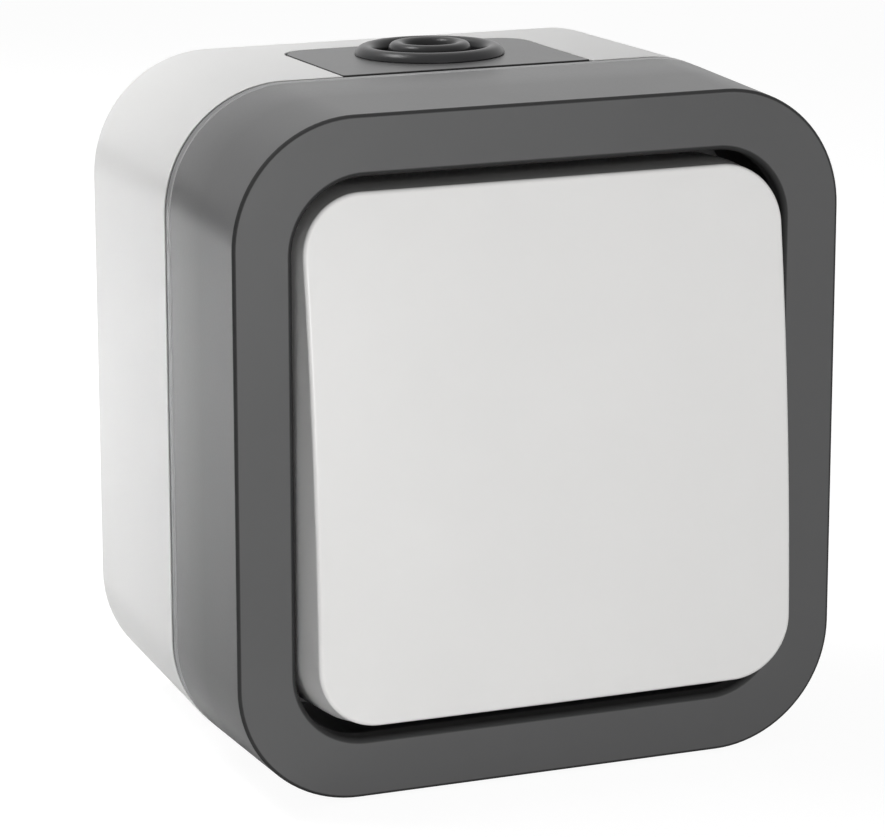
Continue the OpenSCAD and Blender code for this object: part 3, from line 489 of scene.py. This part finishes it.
def smooth_line(points, steps=4):
    """Smooth line through points: between two of them, the cubic that has at each end half
    the step from the point before to the point after as its slope."""
    points = np.asarray(points, float)
    slope = np.gradient(points, axis=0)
    t = np.arange(steps)[None, :, None] / steps
    a, b, p, q = (v[:, None] for v in (points[:-1], points[1:], slope[:-1], slope[1:]))
    line = ((2 * t ** 3 - 3 * t ** 2 + 1) * a + (t ** 3 - 2 * t ** 2 + t) * p
            + (3 * t ** 2 - 2 * t ** 3) * b + (t ** 3 - t ** 2) * q)
    return np.concatenate([line.reshape(-1, 2), points[-1:]])


def grommet_shell(box, entry):
    """Grommet: one section of radius and height turned about the axis of the entry."""
    r = entry["bead"]
    beads = smooth_line([(2.95, -1.0), (2.95, 0.2), (3.05, 0.9), (3.4, 1.36), (4.0, 1.53),
                         (4.6, 1.38), (4.95, 0.95), (5.03, 0.4), (5.05, -0.4), (5.3, -0.85),
                         (6.4, -0.85), (6.7, -0.4), (6.75, 0.2), (6.95, 0.72), (7.4, 1.06),
                         (r - 1.15, 1.14), (r - 0.6, 0.98), (r - 0.17, 0.58), (r, 0.2),
                         (r - 0.1, 0.06), (r - 1.1, 0.05)])
    section = np.concatenate([
        [(0, -1.0), (2.75, -1.0)], beads,
        [(r - 1.1, -3.65), (r + 0.2, -3.65), (r + 0.2, -5), (r - 3.5, -5), (3.05, -1.5),
         (0, -1.5)]])
    lean = np.arctan(box.rear_draft / box.joint_depth)
    points = turned(section, 128)
    x, y, h = points[..., 0], points[..., 1], points[..., 2]
    points = np.stack([x + entry["bead_x"],
                       h * np.cos(lean) - y * np.sin(lean) + box.side_y(entry["bead_z"]),
                       entry["bead_z"] - y * np.cos(lean) - h * np.sin(lean)], axis=-1)
    shell = Shell()
    shell.grid(points, close=(False, True))
    return shell


def frame_shell(box):
    """Front frame: one closed section carried round the outline, from the lip at the joint
    up the side, over the front, through the opening and back along the inside."""
    e, o, front, joint = box.front_edge, box.opening_edge, box.front_depth, box.joint_depth
    deep, band = box.groove, box.joint_depth + box.band
    low, lip, inside = 0.1, 0.12, front - box.frame_face
    # Marks that paint shade on the rounded front edge.
    front_edge_shade = [0.5] + [1] * 7 + [0.5]

    # Inset, level and mark of each row: lip, band, groove, side and front edge. Marks above 0 paint shade: a
    # painted shadow along the lip at the joint and along the front edge. Marks below 0 paint a pale highlight, the
    # glint, on the band and groove.
    side = [(lip + low * b, joint + low * a, 1) for a, b in quarter(3)]
    side += [(lip, joint + 0.4, 1), (0.04, joint + 0.5, -0.12), (0.02, band - deep - 0.3, -0.12),
             (0.03, band - deep, -0.5), (deep, band, -1), (deep, band + 0.1, -1),
             (0.02, band + 0.12, -0.2), (0, band + 0.2, 0), (0, joint + 12, 0),
             (0, front - e - 0.05, 0)]
    side += [(e * a, front - e * b, mark) for (a, b), mark in zip(quarter(8), front_edge_shade)]
    rows, marks = [box.row(*line[:2]) for line in side], [line[2] for line in side]

    # Front, opening and inside
    outer, inner = np.array(box.row(e + 0.05, front)), np.array(box.opening_row(o + 0.05, front))
    rows += [between(outer, inner, t).tolist() for t in (0, 0.06, 0.35, 0.65, 0.94, 1)]
    marks += [0] * 6
    # Marks above 0 paint shade on the opening's rounded edge and down its inner wall.
    rows += [box.opening_row(o * b, front - o * a) for a, b in quarter(8)]
    marks += [0.5] + [1] * 8
    rows += [box.opening_row(0, front - o - 0.05), box.opening_row(0, inside + 0.1),
             box.opening_row(0.1, inside), box.row(box.frame_wall, inside),
             box.row(box.frame_wall, joint)]
    marks += [1, 0.2, 0, 0, 0]
    shell = Shell()
    shell.grid(carry(rows, round_way(12)), close=(True, True), mark=marks)
    return shell


def rocker_shell(box, rocker):
    """Rocker: its outline carried from the flared skirt over the edge and in rings across
    the crowned face, whose height falls with the square of the way up and across; then the
    same form again, a wall's thickness further in. All of it leans about the pivot."""
    way = round_way(14)
    half = box.opening[:2] - [rocker["side_gap"], rocker["end_gap"]]
    r, e, wall, flare = rocker["corner"], rocker["edge"], rocker["wall"], rocker["flare"]
    rear = rocker["rise"] - half[1] ** 2 / (2 * rocker["crown"]) - rocker["skirt"]

    def place(out, depth, share=1.0, level=None):
        ring = carry([[half[0] + out, half[1] + out, r + out, 0.0]], way)[0]
        ring[:, :2] *= share
        face = (rocker["rise"] - ring[:, 1] ** 2 / (2 * rocker["crown"])
                - rocker["side_crown"] * (ring[:, 0] / half[0]) ** 2 - depth)
        ring[:, 2] = face if level is None else level
        return ring

    shares = [0.997, 0.985, 0.95, 0.88, 0.8, 0.7, 0.6, 0.5, 0.4, 0.3, 0.2, 0.1, 0]
    rings = [place(flare + 0.1 - wall + 0.15, 0, level=rear),
             place(flare + 0.1 - 0.15, 0, level=rear), place(flare + 0.06, 0, level=rear + 0.04),
             place(flare + 0.1, 0, level=rear + 0.15), place(flare + 0.06, 7.5),
             place(flare, 5), place(flare * 0.78, 4), place(flare * 0.4, 2.4),
             place(flare * 0.12, 1.2), place(0, e + 0.06)]
    marks = [0] * len(rings)
    rings += [place(-e * a, e * b) for a, b in quarter(8)]
    marks += [1] * 9
    rings += [place(-e, 0, share) for share in shares]
    marks += [0.5] + [0] * (len(shares) - 1)
    inner = [place(-e - wall, wall, share) for share in shares[::-2]]
    inner += [place(-wall - e, wall), place(-wall, wall + e), place(flare - wall, 5 + wall),
              rings[0]]
    marks += [0] * len(inner)
    points = np.stack(rings + inner)
    lean = rocker["lean"]
    y, z = points[..., 1].copy(), points[..., 2].copy()
    points[..., 1] = y * np.cos(lean) + z * np.sin(lean)
    points[..., 2] = z * np.cos(lean) - y * np.sin(lean) + pivot_depth / MM
    shell = Shell()
    shell.grid(points, close=(False, True), mark=marks)
    return shell


# Finishes

class Number:
    """A number inside a finish: sums on it add their Math nodes."""

    def __init__(self, finish, socket):
        self.finish, self.socket = finish, socket

    def apply(self, operation, first, second):
        return self.finish.node("ShaderNodeMath", {"operation": operation},
                                {0: first, 1: second}).number()

    def __add__(self, other):
        return self.apply("ADD", self, other)

    def __sub__(self, other):
        return self.apply("SUBTRACT", self, other)

    def __rsub__(self, other):
        return self.apply("SUBTRACT", other, self)

    def __mul__(self, other):
        return self.apply("MULTIPLY", self, other)

    def either(self, other):
        """1 where one of two yes-or-no numbers is 1."""
        return self.apply("MAXIMUM", self, other)

    def __pow__(self, other):
        return self.apply("POWER", self, other)

    __radd__, __rmul__ = __add__, __mul__


class Node:
    """One node of a finish, with its outputs as numbers or plain sockets."""

    def __init__(self, finish, made):
        self.finish, self.made = finish, made

    def number(self, name=0):
        return Number(self.finish, self.made.outputs[name])

    def out(self, name=0):
        return self.made.outputs[name]


def rgba(value):
    """A colour of three numbers as four, and any other value as it is."""
    plain = isinstance(value, (Number, bpy.types.NodeSocket, float, int, str))
    return value if plain or len(value) != 3 else (*value, 1.0)


def scaled(base, factor):
    """A colour times a factor."""
    return tuple(min(1.0, part * factor) for part in base)


class Finish:
    """A procedural material. Its patterns read Object coordinates, in metres."""

    def __init__(self, name, tree=None):
        self.material = None
        if tree is None:
            self.material = bpy.data.materials.new(name)
            self.material.use_nodes = True
            tree = self.material.node_tree
        self.tree = tree
        tree.nodes.clear()

    def node(self, kind, settings=None, inputs=None):
        """Makes a node from its type, its settings and the values or links of its sockets."""
        made = self.tree.nodes.new(kind)
        for name, value in (settings or {}).items():
            setattr(made, name, value)
        for key, value in (inputs or {}).items():
            value = value.socket if isinstance(value, Number) else value
            if isinstance(value, bpy.types.NodeSocket):
                self.tree.links.new(value, made.inputs[key])
            else:
                made.inputs[key].default_value = value
        return Node(self, made)

    def noise(self, size, detail=2.0, roughness=0.5, stretch=(1.0, 1.0, 1.0)):
        """Noise from 0 to 1 whose blots are about size metres across, longer where stretch
        is small."""
        place = self.node("ShaderNodeTexCoord").out("Object")
        place = self.node("ShaderNodeMapping", None, {"Vector": place, "Scale": stretch}).out()
        inputs = {"Vector": place, "Scale": 1 / size, "Detail": detail, "Roughness": roughness}
        return self.node("ShaderNodeTexNoise", None, inputs).number("Fac")

    def attribute(self, name):
        return self.node("ShaderNodeAttribute", {"attribute_name": name}).number("Fac")

    def mix(self, share, first, second):
        inputs = {0: share, 6: rgba(first), 7: rgba(second)}
        return self.node("ShaderNodeMix", {"data_type": "RGBA"}, inputs).out(2)

    def bump(self, height, depth):
        inputs = {"Height": height, "Strength": 1.0, "Distance": depth}
        return self.node("ShaderNodeBump", None, inputs).out()

    def surface(self, **inputs):
        """Ends the finish in one Principled surface. A name's _ stands for a space."""
        inputs = {name.replace("_", " "): rgba(value) for name, value in inputs.items()}
        shader = self.node("ShaderNodeBsdfPrincipled", None, inputs)
        self.node("ShaderNodeOutputMaterial", None, {"Surface": shader.out()})
        return self.material


def moulded(name, base, edge=0.9, edge_roughness=-0.05, roughness=0.36, grain=0.000004):
    """Satin moulded plastic: a fine eroded grain, faint flow of the colour, and painted light on marked rows:
    painted shade on edges, with their own roughness, where the mark is above 0, and a painted pale glint, a
    painted highlight, where it is below."""
    finish = Finish(name)
    flow = finish.noise(0.022, 3.0, 0.6, (1.0, 0.6, 1.0))
    fine = finish.noise(0.00035, 2.0, 0.6)
    mark = finish.attribute("painted_shade_and_glint")
    even = finish.mix(flow, scaled(base, 0.975), scaled(base, 1.025))
    # Where the mark is above 0 the colour is scaled by edge: painted shade on the edge.
    painted_edge_shade = finish.mix(mark, even, scaled(base, edge))
    return finish.surface(
        # Where the mark is below 0 the colour turns pale: a painted highlight, the glint.
        Base_Color=finish.mix(-1.0 * mark, painted_edge_shade, scaled(base, 9.0)),
        Roughness=roughness + 0.05 * (flow - 0.5) + 0.04 * (fine - 0.5) + mark * edge_roughness,
        Normal=finish.bump(fine + 4.0 * finish.noise(0.006, 1.0), grain), IOR=1.5,
        Specular_IOR_Level=0.35)


def rubber(name, base):
    """Soft black rubber: dull, with a fine dry bloom on it."""
    finish = Finish(name)
    bloom, fine = finish.noise(0.004, 4.0, 0.65), finish.noise(0.0004, 2.0)
    return finish.surface(
        Base_Color=finish.mix(bloom, scaled(base, 0.8), scaled(base, 1.3)),
        Roughness=0.3 + 0.1 * (bloom - 0.5) + 0.05 * (fine - 0.5),
        Normal=finish.bump(fine, 0.000006), IOR=1.5, Specular_IOR_Level=0.2)


def metal(name, base, roughness, stretch, tarnish):
    """Plated or rolled metal: long fine marks of the tool, and blots of tarnish."""
    finish = Finish(name)
    marks, blots = finish.noise(0.0012, 3.0, 0.6, stretch), finish.noise(0.006, 4.0, 0.6)
    return finish.surface(
        Base_Color=finish.mix(blots ** 2.0, base, scaled(base, tarnish)), Metallic=1.0,
        Roughness=roughness + 0.14 * (marks - 0.5) + 0.1 * (blots - 0.5),
        Normal=finish.bump(marks, 0.000008))


# One operator for each piece or group of pieces, and one for the studio

class BuildHousing(bpy.types.Operator):
    """Add the rear housing, with its notch, knock-out ring, screw holes and rimmed back"""
    bl_idname = "switch.build_housing"
    bl_label = "Rear housing"

    def execute(self, context):
        box, entry = Box(context.scene), in_millimetres(context.scene.switch_entry)
        finish = moulded("light_plastic_finish", context.scene.switch_colours.light)
        housing_shell(box, entry).piece("housing_moulding", "box", "light_plastic", finish,
                                        "rear_housing")
        return {"FINISHED"}


class BuildEntry(bpy.types.Operator):
    """Add the entry plate in the housing's upper side and its rubber grommet"""
    bl_idname = "switch.build_entry"
    bl_label = "Cable entry"

    def execute(self, context):
        box, entry = Box(context.scene), in_millimetres(context.scene.switch_entry)
        colours = context.scene.switch_colours
        # edge=0.15 paints near-black shade on the plate's marked edge, a painted shadow line at the gap.
        finish = moulded("entry_plate_finish", colours.dark, edge=0.15, edge_roughness=0.4)
        plate_shell(box, entry).piece("entry_moulding", "box", "dark_plastic", finish,
                                      "entry_plate")
        grommet_shell(box, entry).piece("grommet_beads", "box", "black_rubber",
                                        rubber("grommet_finish", colours.rubber),
                                        "cable_grommet")
        return {"FINISHED"}


class BuildFrame(bpy.types.Operator):
    """Add the dark front frame with its set-back band and rounded opening"""
    bl_idname = "switch.build_frame"
    bl_label = "Front frame"

    def execute(self, context):
        # edge=0.2 sets how dark the painted shade on marked edges is; negative marks paint a pale highlight.
        finish = moulded("frame_finish", context.scene.switch_colours.dark, edge=0.2,
                         edge_roughness=0.4)
        frame_shell(Box(context.scene)).piece("frame_moulding", "box", "dark_plastic", finish,
                                              "front_frame")
        return {"FINISHED"}


class BuildRocker(bpy.types.Operator):
    """Add the crowned rocker with its flared skirt"""
    bl_idname = "switch.build_rocker"
    bl_label = "Rocker"

    def execute(self, context):
        rocker = in_millimetres(context.scene.switch_rocker)
        rocker["lean"] = context.scene.switch_rocker.lean
        finish = moulded("rocker_finish", context.scene.switch_colours.face, edge=1.0)
        rocker_shell(Box(context.scene), rocker).piece("rocker_moulding", "rocker",
                                                       "light_plastic", finish, "rocker")
        return {"FINISHED"}


class FinishMechanism(bpy.types.Operator):
    """Give the tray, the mechanism and its metal parts their own finishes"""
    bl_idname = "switch.finish_mechanism"
    bl_label = "Mechanism"

    def execute(self, context):
        colours = context.scene.switch_colours
        light = (0.76, 0.76, 0.74)
        finishes = {
            "light_plastic": moulded("inner_light_finish", colours.light),
            "dark_plastic": moulded("inner_dark_finish", colours.dark),
            "black_plastic": moulded("tray_finish", colours.tray, roughness=0.45),
            "black_rubber": rubber("seal_finish", colours.rubber),
            "white_plastic": moulded("base_finish", light, roughness=0.4),
            "cream_plastic": moulded("cradle_finish", (0.7, 0.66, 0.55), roughness=0.4),
            "zinc_steel": metal("zinc_steel_finish", (0.62, 0.63, 0.65), 0.34, (1, 1, 0.1), 0.7),
            "brass": metal("brass_finish", (0.72, 0.52, 0.24), 0.3, (0.1, 1, 1), 0.6),
            "contact_silver": metal("silver_finish", (0.86, 0.85, 0.82), 0.26, (1, 1, 1), 0.75),
        }
        for part in frame["record"]["subparts"]:
            node = frame["nodes"][part["node"]]
            if not node.material_slots:
                node.data.materials.append(None)
            node.material_slots[0].material = finishes[part["material_slot"]]
        return {"FINISHED"}


class BuildStudio(bpy.types.Operator):
    """Set the pale floor, the white room, the lamps and the camera"""
    bl_idname = "switch.build_studio"
    bl_label = "Studio"

    def execute(self, context):
        studio = context.scene.switch_studio
        self.floor(context, studio)
        self.room(context, studio)
        self.lamp("left", (-0.85, 0.45, 0.30), 0.8, studio.left_lamp)
        self.lamp("above", (-0.20, 0.32, 0.60), 0.5, studio.top_lamp)
        self.lamp("front", (0.0, -0.9, 0.04), 0.16, studio.front_lamp)
        self.lamp("floor", (-0.30, 0.30, 0.50), 0.4, studio.floor_lamp, (-0.18, 0.22, -0.04), 50)
        self.camera(context)
        return {"FINISHED"}

    def floor(self, context, studio):
        """A square floor. To the camera it mostly glows white; the rest of it keeps the shadow."""
        grey, white = (0.7, 0.7, 0.7, 1.0), (1.0, 1.0, 1.0, 1.0)
        glow_strength, glow_share, reach, cells = 1.18, 0.8, 3.0, 8
        finish = Finish("floor_finish")
        pale = finish.node("ShaderNodeBsdfDiffuse", None, {"Color": grey})
        glow = finish.node("ShaderNodeEmission", None, {"Color": white,
                                                        "Strength": glow_strength})
        share = glow_share * finish.node("ShaderNodeLightPath").number("Is Camera Ray")
        both = finish.node("ShaderNodeMixShader", None, {0: share, 1: pale.out(), 2: glow.out()})
        finish.node("ShaderNodeOutputMaterial", None, {"Surface": both.out()})
        side = cells + 1
        x, y = np.meshgrid(*[np.linspace(-reach, reach, side)] * 2)
        points = np.column_stack([x.ravel(), y.ravel(), np.full(x.size, cad_box[0].z - 0.00005)])
        first = (np.arange(cells)[:, None] * side + np.arange(cells)).ravel()
        mesh = bpy.data.meshes.new("studio_floor")
        mesh.from_pydata(points, [], np.column_stack([first, first + 1, first + side + 1,
                                                      first + side]).tolist())
        mesh.materials.append(finish.material)
        made = bpy.data.objects.new("studio_floor", mesh)
        context.scene.collection.objects.link(made)

    def room(self, context, studio):
        """A white room: its plain level lights the switch, and what sees it sees white."""
        world = bpy.data.worlds.new("studio_room")
        context.scene.world = world
        world.use_nodes = True
        room = Finish("room", world.node_tree)
        path = room.node("ShaderNodeLightPath")
        seen = path.number("Is Camera Ray").either(path.number("Is Glossy Ray"))
        seen = seen.either(path.number("Is Transmission Ray"))
        strength = studio.surround + (studio.background - studio.surround) * seen
        white = room.node("ShaderNodeBackground", None, {"Color": (1.0, 1.0, 1.0, 1.0),
                                                         "Strength": strength})
        room.node("ShaderNodeOutputWorld", None, {"Surface": white.out()})

    def lamp(self, name, place, size, power, aim=(0.0, -0.026, 0.0), spread=180.0):
        """A square lamp that looks at a point, by default the middle of the switch."""
        light = bpy.data.lights.new("lamp_" + name, "AREA")
        light.size, light.energy, light.spread = size, power, float(np.radians(spread))
        made = bpy.data.objects.new("lamp_" + name, light)
        made.location = place
        look = Vector(aim) - made.location
        made.rotation_euler = look.to_track_quat("-Z", "Y").to_euler()
        bpy.context.scene.collection.objects.link(made)

    def camera(self, context):
        """The camera a little to the left of the switch and above it."""
        lens = bpy.data.cameras.new("camera")
        lens.sensor_fit, lens.sensor_width = "HORIZONTAL", 36.0
        lens.lens = 163.481
        made = bpy.data.objects.new("camera", lens)
        made.location = (-0.179411, -0.466496, 0.116728)
        made.rotation_euler = Euler(np.radians((75.857, 0.049, -21.974)))
        context.scene.collection.objects.link(made)
        context.scene.camera = made


class SwitchPanel(bpy.types.Panel):
    """The switch's sizes, colours and pieces"""
    bl_idname = "VIEW3D_PT_switch"
    bl_label = "Rocker switch"
    bl_space_type = "VIEW_3D"
    bl_region_type = "UI"
    bl_category = "Switch"

    def draw(self, context):
        for operator in OPERATORS:
            self.layout.operator(operator.bl_idname)
        for name, (group, title) in GROUPS.items():
            column = self.layout.box().column(align=True)
            column.label(text=title)
            for prop in group.__annotations__:
                column.prop(getattr(context.scene, name), prop)


OPERATORS = [BuildHousing, BuildEntry, BuildFrame, BuildRocker, FinishMechanism, BuildStudio]
GROUPS = {
    "switch_box": (SwitchBoxSizes, "Box"),
    "switch_rocker": (SwitchRockerSizes, "Rocker"),
    "switch_entry": (SwitchEntrySizes, "Cable entry"),
    "switch_colours": (SwitchColours, "Colours"),
    "switch_studio": (SwitchStudio, "Studio"),
}


def register():
    for group, _ in GROUPS.values():
        bpy.utils.register_class(group)
    for kind in OPERATORS + [SwitchPanel]:
        bpy.utils.register_class(kind)
    for name, (group, title) in GROUPS.items():
        setattr(bpy.types.Scene, name, PointerProperty(type=group, name=title))


def unregister():
    for name in GROUPS:
        delattr(bpy.types.Scene, name)
    for kind in [SwitchPanel] + OPERATORS[::-1]:
        bpy.utils.unregister_class(kind)
    for group, _ in GROUPS.values():
        bpy.utils.unregister_class(group)


def main():
    register()
    bpy.context.scene.view_settings.view_transform = "Standard"
    for operator in OPERATORS:
        group, name = operator.bl_idname.split(".")
        getattr(getattr(bpy.ops, group), name)()


if __name__ == "__main__":
    main()
